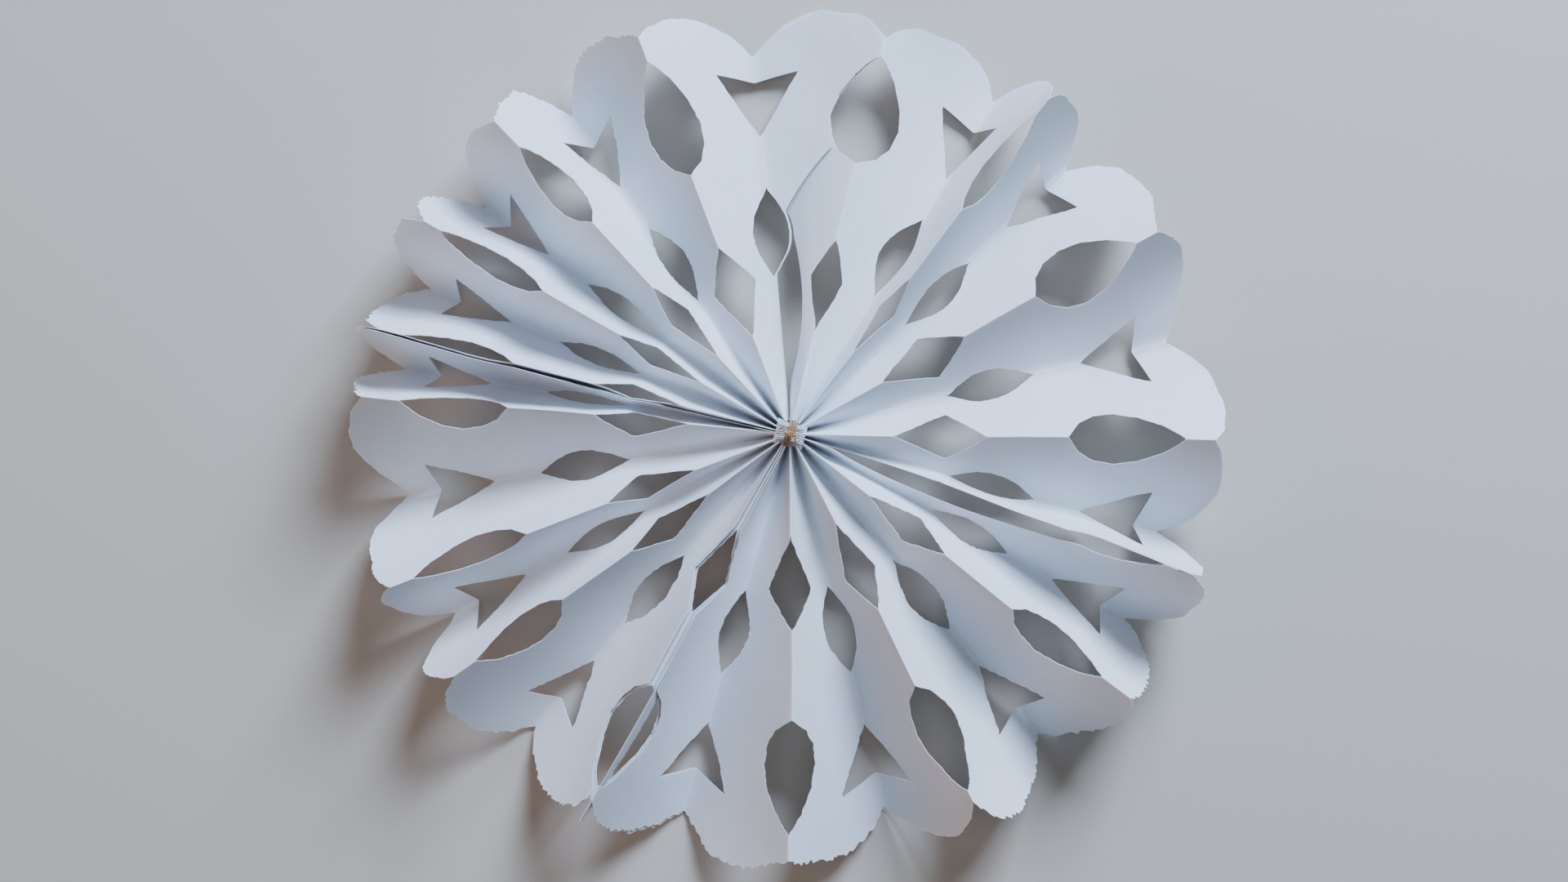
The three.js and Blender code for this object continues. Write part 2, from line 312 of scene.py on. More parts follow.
@dataclass(frozen=True)
class CottonTwine:
    """Natural cotton twine, spun from three strands: fuzzy, matt and straw-brown."""

    name: str = "natural_cotton_twine_three_strand"
    light: str = "#bd8f58"
    # Colour of the painted shade in the grooves between strands.
    groove_shade: str = "#74491f"
    fibre_mm: float = 0.12
    relief_mm: float = 0.06

    def material(self) -> Material:
        """Build the twine: painted shade in the grooves between strands, and a soft fuzz at grazing
        angles.
        """
        material, tree, shader = new_material(self.name)
        place = add_node(tree, "ShaderNodeTexCoord").outputs["Object"]
        groove = add_node(tree, "ShaderNodeAttribute", attribute_name="strand_groove_shade")
        fibres = add_node(
            tree, "ShaderNodeTexNoise",
            {"Vector": place, "Scale": 1 / (self.fibre_mm * MM), "Detail": 3.0},
        )
        # Painted shade: from the twine's colour to the shade colour towards the middle of each
        # groove.
        mixed = add_node(
            tree, "ShaderNodeMix",
            {"Factor": groove.outputs["Fac"], 6: srgb(self.light), 7: srgb(self.groove_shade)},
            data_type="RGBA",
        )
        bump = add_node(
            tree, "ShaderNodeBump",
            {"Height": fibres.outputs[0], "Strength": 0.5, "Distance": self.relief_mm * MM},
        )
        tree.links.new(mixed.outputs[2], shader.inputs["Base Color"])
        tree.links.new(bump.outputs[0], shader.inputs["Normal"])
        shader.inputs["Roughness"].default_value = 0.9
        shader.inputs["Sheen Weight"].default_value = 0.4
        shader.inputs["Sheen Roughness"].default_value = 0.5
        return material


@dataclass(frozen=True)
class DriedGlue:
    """White paper glue that has dried clear: a thin, slightly yellow and satin film."""

    name: str = "dried_paper_glue_satin_film"
    colour: str = "#d8d5c4"
    ripple_mm: float = 0.8
    relief_mm: float = 0.1

    def material(self) -> Material:
        """Build the glue with the faint ripple that drying leaves."""
        material, tree, shader = new_material(self.name)
        place = add_node(tree, "ShaderNodeTexCoord").outputs["Object"]
        ripple = add_node(
            tree, "ShaderNodeTexNoise",
            {"Vector": place, "Scale": 1 / (self.ripple_mm * MM), "Detail": 2.0},
        )
        bump = add_node(
            tree, "ShaderNodeBump",
            {"Height": ripple.outputs[0], "Strength": 0.3, "Distance": self.relief_mm * MM},
        )
        tree.links.new(bump.outputs[0], shader.inputs["Normal"])
        shader.inputs["Base Color"].default_value = srgb(self.colour)
        shader.inputs["Roughness"].default_value = 0.38
        shader.inputs["IOR"].default_value = 1.48
        return material


@dataclass(frozen=True)
class StudioFloor:
    """A plain, pale and matt paper-board floor."""

    name: str = "pale_matt_studio_board"
    colour: str = "#cdc5ba"

    def material(self) -> Material:
        """Build the floor's single matt tone."""
        material, _, shader = new_material(self.name)
        shader.inputs["Base Color"].default_value = srgb(self.colour)
        shader.inputs["Roughness"].default_value = 0.9
        shader.inputs["Specular IOR Level"].default_value = 0.2
        return material


# ---- the folded frame --------------------------------------------------------------------


@dataclass
class FoldFrame:
    """The waist's centre and the direction of every fold, read from the CAD model's hinges."""

    main_joint: str = "fan_fold"
    main_fold: int = 8
    panels: int = 32
    dab_lift: float = 0.5 * MM
    centre: Array = field(default_factory=lambda: np.zeros(3))
    folds: list[Array] = field(default_factory=list)

    def __post_init__(self) -> None:
        """Read the hinges, then add the seam's two raw edges, which have none."""
        hinges = {joint["name"]: joint for joint in frame["joints"]}
        self.centre = np.array(hinges[self.main_joint]["pos_m"], float)
        seam = self._seam_direction()
        self.folds = [seam]
        for number in range(1, self.panels):
            name = self.main_joint if number == self.main_fold else f"fold_{number:02d}"
            self.folds.append(unit(np.array(hinges[name]["axis"], float)))
        self.folds.append(seam)

    def _seam_direction(self) -> Array:
        """From the waist's centre to the dab of glue that closes the seam at the rim."""
        return unit(middle_of(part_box("seam_glue_dab")) - self.dab_lift * UP - self.centre)

    @staticmethod
    def is_mountain(fold: int) -> bool:
        """Even folds are mountains."""
        return fold % 2 == 0

    def body(self, panel: int) -> str:
        """Name of the CAD body that carries a panel."""
        return f"panel_{panel + 1:02d}"

    def edges(self, panel: int) -> tuple[int, int]:
        """The mountain fold and the valley fold beside a panel."""
        return (panel, panel + 1) if self.is_mountain(panel) else (panel + 1, panel)

    def angle(self, panel: int) -> float:
        """Angle between the two folds beside a panel, in radians."""
        first, second = (self.folds[fold] for fold in self.edges(panel))
        return math.acos(float(np.clip(first @ second, -1, 1)))

    def over_the_valley(self, panel: int) -> tuple[int, Array]:
        """The panel beyond a panel's valley fold, and the level direction towards it."""
        mountain, valley = self.edges(panel)
        across = unit(np.cross(UP, self.folds[valley]))
        across = -across * np.sign(across @ self.folds[mountain])
        return (valley if valley > panel else panel - 1), across


class EdgeCut(Enum):
    """How an edge of the paper was made. The value is the depth of its fibres or steps."""

    SCISSORS = 0.07 * MM
    BLUNT = 0.22 * MM
    TORN = 0.5 * MM


class Layer(Enum):
    """Where a panel lies when two of them are glued together. The value is its lift."""

    BASE = 0.0
    OVERLAY = 0.34 * MM


@dataclass(frozen=True)
class FoldFacts:
    """What one fold's own cuts and bends are like. The panels on both its sides share it.

    Attributes:
        scale: How much deeper or shallower its inner cut is than the pattern's.
        shift: How far the inner cut sits out along the fold.
        leaf: Where its outer cut starts and ends, and how deep it is.
        triangle: Where the triangle's base crosses the fold, and how deep its corners are.
        rim: Where the rim crosses it.
        phase: Starting angles of the waves that it wanders by.
        sway: Heights of those waves.
    """

    scale: float
    shift: float
    leaf: Triple
    triangle: tuple[float, float]
    rim: float
    phase: Array
    sway: Array


@dataclass
class CutPattern:
    """The cuts, measured along a fold from the waist. Half of each lies on either side.

    Attributes:
        inner_end: Where the panels start.
        tip: How far the lobes reach.
        corner: Where the triangle's outer corners are.
        apex: Where its point is.
        kite: Start, widest place, end and depth of the inner cut on a mountain fold.
        slit: The same of the cut on a valley fold.
        leaf_snips: Where the outer cut changes direction, as shares of its length.
        rim_snips: How many places the rim is cut at.
        seam_rim: Where the rim crosses the seam.
    """

    inner_end: float = 3.2 * MM
    tip: float = 105.0 * MM
    corner: float = 88.8 * MM
    apex: float = 73.5 * MM
    kite: tuple[float, float, float, float] = (25 * MM, 38 * MM, 47 * MM, 7.2 * MM)
    slit: tuple[float, float, float, float] = (39 * MM, 50 * MM, 61 * MM, 4.6 * MM)
    leaf_snips: tuple[float, ...] = (0, 0.1, 0.24, 0.42, 0.62, 0.82, 1)
    rim_snips: int = 9
    seam_rim: float = 99.5 * MM

    def facts(self, rng: np.random.Generator, mountain: bool, seam: bool) -> FoldFacts:
        """Draw one fold's own measures.

        Args:
            rng: The fold's seeded source.
            mountain: Whether it is a mountain fold.
            seam: Whether it is a raw edge of the open seam, which is cut more evenly.

        Returns:
            The fold's measures.
        """
        leaf = (rng.uniform(65, 68), rng.uniform(90.5, 94.5), rng.uniform(8.4, 10.4))
        triangle = (rng.uniform(85.4, 88.0), rng.uniform(8.8, 11.2))
        rim = rng.uniform(96.5, 101.0) if mountain else rng.uniform(93.2, 96.8)
        return FoldFacts(
            scale=rng.uniform(0.9, 1.08),
            shift=rng.uniform(-1.0, 1.0) * MM,
            leaf=(leaf[0] * MM, leaf[1] * MM, leaf[2] * MM),
            triangle=(triangle[0] * MM, triangle[1] * MM),
            rim=self.seam_rim if seam else rim * MM,
            phase=rng.uniform(0, 2 * np.pi, 3)[:2],
            sway=rng.uniform(-1, 1, 2),
        )

    @staticmethod
    def _rise_and_fall(
        along: Array, cut: tuple[float, float, float, float], shift: float
    ) -> tuple[Array, Array]:
        """How far along the cut's widening and narrowing sides each distance is, as shares."""
        start, widest, end, _ = cut
        rise = np.clip((along - shift - start) / (widest - start), 0, 1)
        fall = np.clip((end + shift - along) / (end - widest), 0, 1)
        return rise, fall

    def mountain_depth(self, along: Array, facts: FoldFacts) -> Array:
        """Depth of the cuts on a mountain fold.

        The kite is two straight lines that meet at its widest place, softened by a power.
        The leaf is a sine that leans towards the waist, cut in straight snips.

        Args:
            along: Distances from the waist.
            facts: The fold's own measures.

        Returns:
            The depth at each distance.
        """
        rise, fall = self._rise_and_fall(along, self.kite, facts.shift)
        kite = self.kite[3] * facts.scale * np.minimum(rise**0.9, fall**0.85)
        low, high, leaf_depth = facts.leaf
        share = np.clip((along - low) / (high - low), 0, 1)
        snips = np.array(self.leaf_snips)
        leaf = leaf_depth * np.interp(share, snips, np.sin(np.pi * snips**0.82).clip(0) ** 0.75)
        return np.maximum(kite, 0) + leaf

    def valley_depth(self, along: Array, facts: FoldFacts) -> Array:
        """Depth of the cuts on a valley fold: a narrow lens, then one side of the triangle.

        Args:
            along: Distances from the waist.
            facts: The fold's own measures.

        Returns:
            The depth at each distance, up to the triangle's corner.
        """
        rise, fall = self._rise_and_fall(along, self.slit, facts.shift)
        slit = self.slit[3] * facts.scale * np.sin(np.pi / 2 * np.minimum(rise, fall))
        side = np.clip((along - self.apex) / (self.corner - self.apex), 0, 1)
        return slit + facts.triangle[1] * side**0.92

    def rim(
        self, share: Array, mountain: FoldFacts, valley: FoldFacts, rng: np.random.Generator
    ) -> Array:
        """Radius of the rim from the mountain fold to the valley fold.

        A lobe: it climbs from the mountain fold's notch to a broad tip, each step of the climb
        smaller than the last, and drops ever faster to the valley fold's notch. It is cut in
        straight snips, so the curve is read at a few uneven places and joined by lines.

        Args:
            share: Place across the panel, 0 on the mountain fold and 1 on the valley fold.
            mountain: The mountain fold's own measures.
            valley: The valley fold's own measures.
            rng: The panel's seeded source.

        Returns:
            The rim's distance from the waist.
        """
        tip = self.tip - rng.uniform(0, 2.2) * MM
        tip_share = rng.uniform(0.34, 0.58)
        climb_power, drop_power = rng.uniform(1.5, 3.2), rng.uniform(1.6, 2.7)
        snips = np.linspace(0, 1, self.rim_snips)
        snips[1:-1] += rng.uniform(-0.035, 0.035, self.rim_snips - 2)
        up = np.clip(snips / tip_share, 0, 1)
        down = np.clip((snips - tip_share) / (1 - tip_share), 0, 1)
        radius = mountain.rim + (tip - mountain.rim) * (1 - (1 - up) ** climb_power)
        radius = radius - (tip - valley.rim) * down**drop_power
        radius[1:-1] += rng.uniform(-0.35, 0.35, self.rim_snips - 2) * MM
        return np.interp(share, snips, radius)


@dataclass
class PanelShape:
    """How one panel differs from the others.

    Attributes:
        rim: How its rim was cut.
        layer: Whether it is laid over another panel.
        free_mountain: How far its mountain edge draws back, as (from, to, depth) spans.
        free_valley: The same on its valley edge.
        sag: How far the middle of the panel hangs below a flat sheet.
        curl: How far the rim's lobe turns up or down.
        lift: How far a laid-over panel springs off the one below at its mountain edge.
        droop: How far its free valley edge hangs below the fold, inside the narrow cut.
    """

    rim: EdgeCut = EdgeCut.SCISSORS
    layer: Layer = Layer.BASE
    free_mountain: tuple[Triple, ...] = ()
    free_valley: tuple[Triple, ...] = ()
    sag: float = 1.0 * MM
    curl: float = 0.0
    lift: float = 0.0
    droop: float = 0.0


@dataclass
class Pleats:
    """All the panels of the star, each a bent and cut sheet between two folds."""

    folds: FoldFrame
    cuts: CutPattern = field(default_factory=CutPattern)
    thickness: float = 0.12 * MM
    ridge_swell: float = 3.8 * MM
    valley_swell: float = 5.0 * MM
    swell_reach: float = 16 * MM
    valley_softness: float = 2.4 * MM
    ridge_softness: float = 0.35 * MM
    wander: float = 0.55 * MM
    wave_counts: tuple[float, float] = (0.8, 1.9)
    ripple_height: float = 0.16 * MM
    curl_start: float = 0.82
    droop_reach: float = 78 * MM
    narrow_kite: float = 0.6
    unevenness: float = 0.25 * MM
    fibre_start: float = 0.5 * MM
    most_cut: float = 0.94
    least_left: float = 0.03
    # Widths of the paler bands painted on the ridge and in the valley: a painted highlight, with
    # wear.
    highlight_and_wear_reach: tuple[float, float] = (0.45 * MM, 0.5 * MM)
    inner_columns: int = 34
    corner_columns: int = 16
    outer_rows: int = 24
    row_step: float = 0.9 * MM
    seed: int = 2024

    def facts(self, fold: int) -> FoldFacts:
        """One fold's own measures, the same each time that they are asked for."""
        rng = np.random.default_rng(self.seed + fold)
        seam = fold in (0, self.folds.panels)
        facts = self.cuts.facts(rng, self.folds.is_mountain(fold), seam)
        return replace(facts, scale=self.narrow_kite) if fold == self.folds.main_fold else facts

    def crease_offset(self, fold: int, along: Array) -> Array:
        """How far a fold strays from its straight hinge line.

        Near the waist ridges climb to the top of the gathered bundle and valleys sink under it, by
        a bell curve that dies away; further out the fold wanders sideways by two sines.

        Args:
            fold: The fold's number.
            along: Distances from the waist.

        Returns:
            An offset vector for each distance.
        """
        facts = self.facts(fold)
        swell = np.exp(-((along / self.swell_reach) ** 1.5))
        height = self.ridge_swell if self.folds.is_mountain(fold) else -self.valley_swell
        sideways = unit(np.cross(UP, self.folds.folds[fold]))
        share = along / self.cuts.tip
        slow, quick = (
            np.sin(2 * np.pi * count * share + phase) * sway
            for count, phase, sway in zip(self.wave_counts, facts.phase, facts.sway)
        )
        bend = self.wander * (slow + 0.4 * quick) * np.minimum(share * 2, 1)
        return (height * swell)[..., None] * UP + bend[..., None] * sideways

    def surface(
        self, panel: int, shape: PanelShape, along: Array, share: Array, extra: float = 0
    ) -> Array:
        """Points of a panel's middle surface.

        A flat sector between its two folds, plus the folds' own wandering, a sag that is half a
        sine across the panel, a curl at the rim, faint ripples, and a rounding near each fold: a
        parabola in place of the sharp V, wide in the valley and narrow on the ridge.

        Args:
            panel: The panel's number round the ring.
            shape: How this panel differs.
            along: Distance from the waist, as an array.
            share: Place across the panel, from the mountain to the valley fold, same shape.
            extra: A distance off the surface, for what lies on the panel.

        Returns:
            Points, with one more axis than the inputs.
        """
        mountain, valley = self.folds.edges(panel)
        first, second = self.folds.folds[mountain], self.folds.folds[valley]
        angle = self.folds.angle(panel)
        weight_first = np.sin((1 - share) * angle) / math.sin(angle)
        weight_second = np.sin(share * angle) / math.sin(angle)
        direction = weight_first[..., None] * first + weight_second[..., None] * second
        normal = unit(np.cross(first, second))
        normal = normal * np.sign(normal[2])
        steep = math.sqrt(max(0.0, 1 - normal[2] ** 2))
        ridge, trough = self.crease_offset(mountain, along), self.crease_offset(valley, along)
        points = self.folds.centre + along[..., None] * direction
        points = points + ridge * (1 - share)[..., None] + trough * share[..., None]

        phases = np.random.default_rng(self.seed * 3 + panel).uniform(0, 2 * np.pi, 2)
        reach = along / self.cuts.tip
        middle = np.sin(np.pi * share)
        curled = np.clip((reach - self.curl_start) / (1 - self.curl_start), 0, None) ** 2
        ripple = np.sin(9 * reach + 2.5 * share + phases[0])
        ripple = ripple + 0.6 * np.sin(21 * reach - 4 * share + phases[1])
        drooped = share**2 * np.sin(np.pi * np.clip(along / self.droop_reach, 0, 1))
        sprung = (1 - share) ** 1.5 * np.sin(np.pi * np.clip(reach, 0, 1)) ** 0.7
        off = middle * (shape.curl * curled - shape.sag * reach**1.2)
        off = off + self.ripple_height * ripple * middle * reach
        off = off - shape.droop * drooped + shape.lift * sprung + shape.layer.value + extra

        width = angle * along
        trough_reach = np.minimum(self.valley_softness, 0.22 * width)
        ridge_reach = np.minimum(self.ridge_softness, 0.1 * width)
        rounding = self._rounding((1 - share) * width, trough_reach)
        rounding = rounding - self._rounding(share * width, ridge_reach)
        return points + off[..., None] * normal + (steep * rounding)[..., None] * UP

    @staticmethod
    def _rounding(distance: Array, reach: Array) -> Array:
        """How far a parabola stands off the sharp V that it replaces, this far from the fold."""
        curve = distance**2 / (2 * reach) + reach / 2 - distance
        return np.where(distance < reach, curve, 0.0)

    @staticmethod
    def _draw_back(along: Array, spans: Sequence[Triple]) -> Array:
        """Deepest of the half-sine bites out of an edge, each given as (from, to, depth)."""
        deepest = np.zeros_like(along)
        for start, end, depth in spans:
            place = np.clip((along - start) / (end - start), 0, 1)
            deepest = np.maximum(deepest, depth * np.sin(np.pi * place) ** 0.7)
        return deepest

    def _cut_share(self, width: Array, depth: Array, rough: Array, bites: Array) -> Array:
        """Share of a panel that is gone at one edge.

        Args:
            width: The whole panel's width.
            depth: Depth of the cuts.
            rough: How far the fibres stand out or in, where there is a cut.
            bites: How far the edge draws back in any case.

        Returns:
            The share at each place.
        """
        fibres = rough * np.clip(depth / self.fibre_start, 0, 1)
        return np.clip(np.maximum(depth + fibres, bites) / width, 0, self.most_cut)

    def _rows(self, ridge: FoldFacts) -> Array:
        """Distances of a panel's inner rows: even steps, and every place where a cut turns."""
        cuts = self.cuts
        low, high, _ = ridge.leaf
        snips = low + np.array(cuts.leaf_snips) * (high - low)
        snips = snips[snips < cuts.corner]
        turns = [*cuts.kite[:3], *cuts.slit[:3], *snips, cuts.apex, cuts.corner]
        steps = np.arange(cuts.inner_end, cuts.corner, self.row_step)
        rows = np.unique(np.round(np.concatenate([steps, turns]), 6))
        rows = rows[np.concatenate([[True], np.diff(rows) > 0.2 * MM])]
        rows[-1] = cuts.corner
        return rows

    def grid(self, panel: int, shape: PanelShape) -> tuple[Array, Array, Array, Array]:
        """Work out a panel's grid: distances, places across and faces.

        Rows run across the panel. Up to the triangle's corner they stop at the cuts on both folds.
        The last of them bends back along the triangle's base, and from there rows run to the rim.

        Args:
            panel: The panel's number round the ring.
            shape: How this panel differs.

        Returns:
            Distance and place of each vertex, the faces, and which vertices are on a cut edge.
        """
        cuts = self.cuts
        angle = self.folds.angle(panel)
        ridge, trough = (self.facts(fold) for fold in self.folds.edges(panel))
        rng = np.random.default_rng(self.seed * 7 + panel + 50 * (shape.layer is Layer.OVERLAY))
        rows = self._rows(ridge)
        ragged = shape.rim.value
        hand = EdgeCut.SCISSORS.value + 0.35 * ragged

        def roughness() -> Array:
            """Fibres and the hand's slow wandering, for one edge."""
            fibres = rng.uniform(-hand, hand, len(rows))
            return fibres + smooth_noise(rng, len(rows), 7, self.unevenness)

        ridge_rough, trough_rough = roughness(), roughness()
        trough_rough[-1] = 0
        bites = self._draw_back(rows, shape.free_mountain)
        low = self._cut_share(angle * rows, cuts.mountain_depth(rows, ridge), ridge_rough, bites)
        bites = self._draw_back(rows, shape.free_valley)
        high = self._cut_share(angle * rows, cuts.valley_depth(rows, trough), trough_rough, bites)
        high = 1 - high
        low = np.minimum(low, high - self.least_left)
        columns = np.linspace(0, 1, self.inner_columns + 1)
        inner_share = low[:, None] + columns[None, :] * (high - low)[:, None]
        inner_along = np.repeat(rows[:, None], len(columns), axis=1)

        corner_share = float(high[-1])
        steps_out = np.linspace(0, 1, self.outer_rows + 1)[1:]
        beyond = np.linspace(corner_share, 1, self.corner_columns + 1)[1:]
        edge = cuts.corner + steps_out * (ridge.rim - cuts.corner)
        edge_rough = rng.uniform(-hand, hand, len(edge))
        bites = self._draw_back(edge, shape.free_mountain)
        outer_low = self._cut_share(
            angle * edge, cuts.mountain_depth(edge, ridge), edge_rough, bites
        )
        outer_low = np.minimum(outer_low, corner_share - self.least_left)
        near = outer_low[:, None] + columns[None, :] * (corner_share - outer_low)[:, None]
        far = np.repeat(beyond[None, :], len(steps_out), axis=0)
        outer_share = np.concatenate([near, far], axis=1)
        slope = (cuts.corner - trough.triangle[0]) / (1 - corner_share)
        start = cuts.corner - slope * np.clip(outer_share - corner_share, 0, None)
        rim_columns = outer_share.shape[1]
        calm = 1.0 if shape.rim is EdgeCut.TORN else 0.8
        fibres = rng.uniform(-ragged, ragged, rim_columns) * calm
        uneven = smooth_noise(rng, rim_columns, 9, 2 * self.unevenness)
        rim = cuts.rim(outer_share, ridge, trough, rng) + (fibres + uneven)[None, :]
        outer_along = start + steps_out[:, None] * (rim - start)

        bent_along = cuts.corner - slope * (beyond - corner_share)
        count = inner_share.size
        inner_numbers = np.arange(count).reshape(inner_share.shape)
        bent_numbers = count + np.arange(self.corner_columns)
        rest = count + self.corner_columns + np.arange(outer_share.size).reshape(outer_share.shape)
        first_row = np.concatenate([inner_numbers[-1], bent_numbers])[None, :]
        outer_numbers = np.concatenate([first_row, rest])
        along = np.concatenate([inner_along.ravel(), bent_along, outer_along.ravel()])
        share = np.concatenate([inner_share.ravel(), beyond, outer_share.ravel()])
        quads = np.concatenate([grid_quads(inner_numbers), grid_quads(outer_numbers)])
        on_edge = np.zeros(len(along))
        on_edge[rest[-1]] = 1
        on_edge[inner_numbers[:, [0, -1]].ravel()] = 1
        return along, share, quads, on_edge

    def build(self, name: str, panel: int, shape: PanelShape, paper: Material) -> Piece:
        """Make one panel, with its thickness, its paper, and paler bands painted along its folds
        and cut edges as a highlight, with wear.

        Args:
            name: The piece's name.
            panel: The panel's number round the ring.
            shape: How this panel differs.
            paper: Its material.

        Returns:
            The finished piece.
        """
        along, share, quads, on_edge = self.grid(panel, shape)
        points = self.surface(panel, shape, along, share)
        piece = sheet_piece(name, points, quads, self.thickness, paper)
        width = self.folds.angle(panel) * along
        ridge_reach, valley_reach = self.highlight_and_wear_reach
        # Painted highlight, with wear: full on the ridge, half in the valley, and more on the side
        # edges and the rim.
        highlight_and_wear = np.exp(-((share * width / ridge_reach) ** 2))
        highlight_and_wear = highlight_and_wear + 0.5 * np.exp(-(((1 - share) * width / valley_reach) ** 2))
        highlight_and_wear = np.clip(highlight_and_wear + 0.7 * on_edge, 0, 1)
        put_attribute(piece, "fold_highlight_and_wear", np.concatenate([highlight_and_wear, highlight_and_wear]))
        return piece


# ---- the four fans -----------------------------------------------------------------------


@dataclass
class Star:
    """The four half-sheets, opened into a ring, with the panels that lie doubled and their glue."""

    pleats: Pleats
    paper: Material
    glue: Material
    seed: int = 77
    bend_reach: float = 1.4 * MM
    edge_lift: float = 1.2 * MM
    edge_hang: float = 3.0 * MM
    glue_place: tuple[float, float] = (83 * MM, 0.52)
    glue_half: tuple[float, float] = (4.0 * MM, 0.08)
    dab_half: Triple = (1.6 * MM, 0.34 * MM, 0.42 * MM)
    torn_panels: tuple[int, ...] = (10, 11, 13, 14, 15, 16, 17, 22, 23, 24, 25, 26, 28, 29, 30)
    blunt_panels: tuple[int, ...] = (0, 3, 4, 9, 12, 18, 19, 21, 27, 31)

    def shape_of(self, panel: int) -> PanelShape:
        """The look of a panel of the ring, from its place in it."""
        rng = np.random.default_rng(self.seed + panel)
        rim = EdgeCut.SCISSORS
        if panel in self.blunt_panels:
            rim = EdgeCut.BLUNT
        if panel in self.torn_panels:
            rim = EdgeCut.TORN
        sag, curl = rng.uniform(0.6, 2.4) * MM, rng.uniform(-2.0, 2.4) * MM
        shape = PanelShape(rim=rim, sag=sag, curl=curl)
        if panel == 0:
            shape.free_mountain = ((6 * MM, 86 * MM, 6.2 * MM),)
        if panel == self.pleats.folds.panels - 1:
            shape.free_mountain = ((11 * MM, 92 * MM, 9.0 * MM),)
        if panel == 8:
            shape.free_valley = ((12 * MM, 62 * MM, 6.2 * MM),)
            shape.droop = 5.0 * MM
        return shape

    @staticmethod
    def overlay_shapes() -> dict[int, PanelShape]:
        """The looks of the panels that are laid over others, by their place in the ring."""
        north, west, south_1, south_2 = (PanelShape(layer=Layer.OVERLAY) for _ in range(4))
        north.free_mountain, north.lift = ((3 * MM, 76 * MM, 17 * MM),), 0.8 * MM
        west.free_mountain, west.lift = ((8 * MM, 56 * MM, 3.6 * MM),), 0.8 * MM
        south_1.free_valley, south_1.lift = ((2 * MM, 104 * MM, 4.0 * MM),), 0.9 * MM
        south_2.lift = 0.9 * MM
        west.rim = south_1.rim = south_2.rim = EdgeCut.TORN
        return {8: north, 16: west, 23: south_1, 24: south_2}

    def nodes(self, panel: int) -> list[str]:
        """The CAD nodes of a place in the ring: its panel, then the panel and glue laid on it."""
        return frame["record"]["behaviour"]["bodies"][self.pleats.folds.body(panel)]

    def build(self) -> None:
        """Make every panel and every piece of glue, and put each piece of glue on its panel's body.
        """
        for panel in range(self.pleats.folds.panels):
            self._paper_panel(self.nodes(panel)[0], panel, self.shape_of(panel))
        for panel, shape in self.overlay_shapes().items():
            base = self.shape_of(panel)
            shape.sag, shape.curl = base.sag, base.curl
            _, node, glue_node = self.nodes(panel)
            self._paper_panel(node, panel, shape)
            self._glue_patch(glue_node, panel, base)
        self._seam_dab()
        self._raw_edge()
        LOG.info("panels and glue built")

    def _paper_panel(self, node: str, panel: int, shape: PanelShape) -> None:
        """Make a panel in place of its CAD node.

        Args:
            node: The CAD node.
            panel: Its place in the ring.
            shape: Its look.
        """
        folds = self.pleats.folds
        piece = self.pleats.build(f"{node}_paper", panel, shape, self.paper)
        neighbour, across = folds.over_the_valley(panel)
        folds.body(panel)
        folds.body(neighbour)
        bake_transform(piece)
        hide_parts(node)

    def _place_glue(self, piece: Piece, panel: int, node: str) -> None:
        """Ride a piece of glue on its panel's body, in place of its CAD node."""
        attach(piece, self.pleats.folds.body(panel))
        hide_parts(node)

    def _glue_patch(self, name: str, panel: int, shape: PanelShape) -> None:
        """A film of glue on a panel: an oval patch of its own surface, a little above it."""
        rings, spokes = np.meshgrid(
            np.linspace(0.02, 1, 8), np.linspace(0, 2 * np.pi, 33)[:-1], indexing="ij"
        )
        along = self.glue_place[0] + self.glue_half[0] * rings * np.cos(spokes)
        share = self.glue_place[1] + self.glue_half[1] * rings * np.sin(spokes)
        points = self.pleats.surface(panel, shape, along, share, 0.15 * MM).reshape(-1, 3)
        numbers = np.arange(rings.size).reshape(rings.shape)
        quads = grid_quads(np.concatenate([numbers, numbers[:, :1]], axis=1))
        film = sheet_piece(f"{name}_film", points, quads, 0.06 * MM, self.glue)
        self._place_glue(film, panel, name)

    def _raw_edge(self) -> None:
        """The south half-sheet's raw edge: a ragged strip that hangs from its fold over the cut."""
        panel, shape = 24, PanelShape(layer=Layer.OVERLAY, lift=self.edge_lift)
        folds = self.pleats.folds
        rng = np.random.default_rng(self.seed * 5)
        along = np.linspace(62, 103, 84) * MM
        width = np.interp(along / MM, (62, 70, 84, 103), (0.4, 2.6, 2.3, 1.0)) * MM
        ragged = smooth_noise(rng, len(along), 6, 0.35 * MM)
        ragged = ragged + rng.uniform(-0.12, 0.12, len(along)) * MM
        width = np.maximum(width + ragged, 0.2 * MM)
        across = np.linspace(0, 1, 4)
        share = across[None, :] * (width / (folds.angle(panel) * along))[:, None]
        reach = np.broadcast_to(along[:, None], share.shape)
        points = self.pleats.surface(panel, shape, reach, share)
        points = (points - (self.edge_hang * across)[None, :, None] * UP).reshape(-1, 3)
        quads = grid_quads(np.arange(share.size).reshape(share.shape))
        name = "fan_south_panel_2_raw_edge"
        piece = sheet_piece(name, points, quads, self.pleats.thickness, self.paper)
        put_attribute(piece, "fold_highlight_and_wear", np.zeros(len(piece.data.vertices)))
        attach(piece, folds.body(panel))

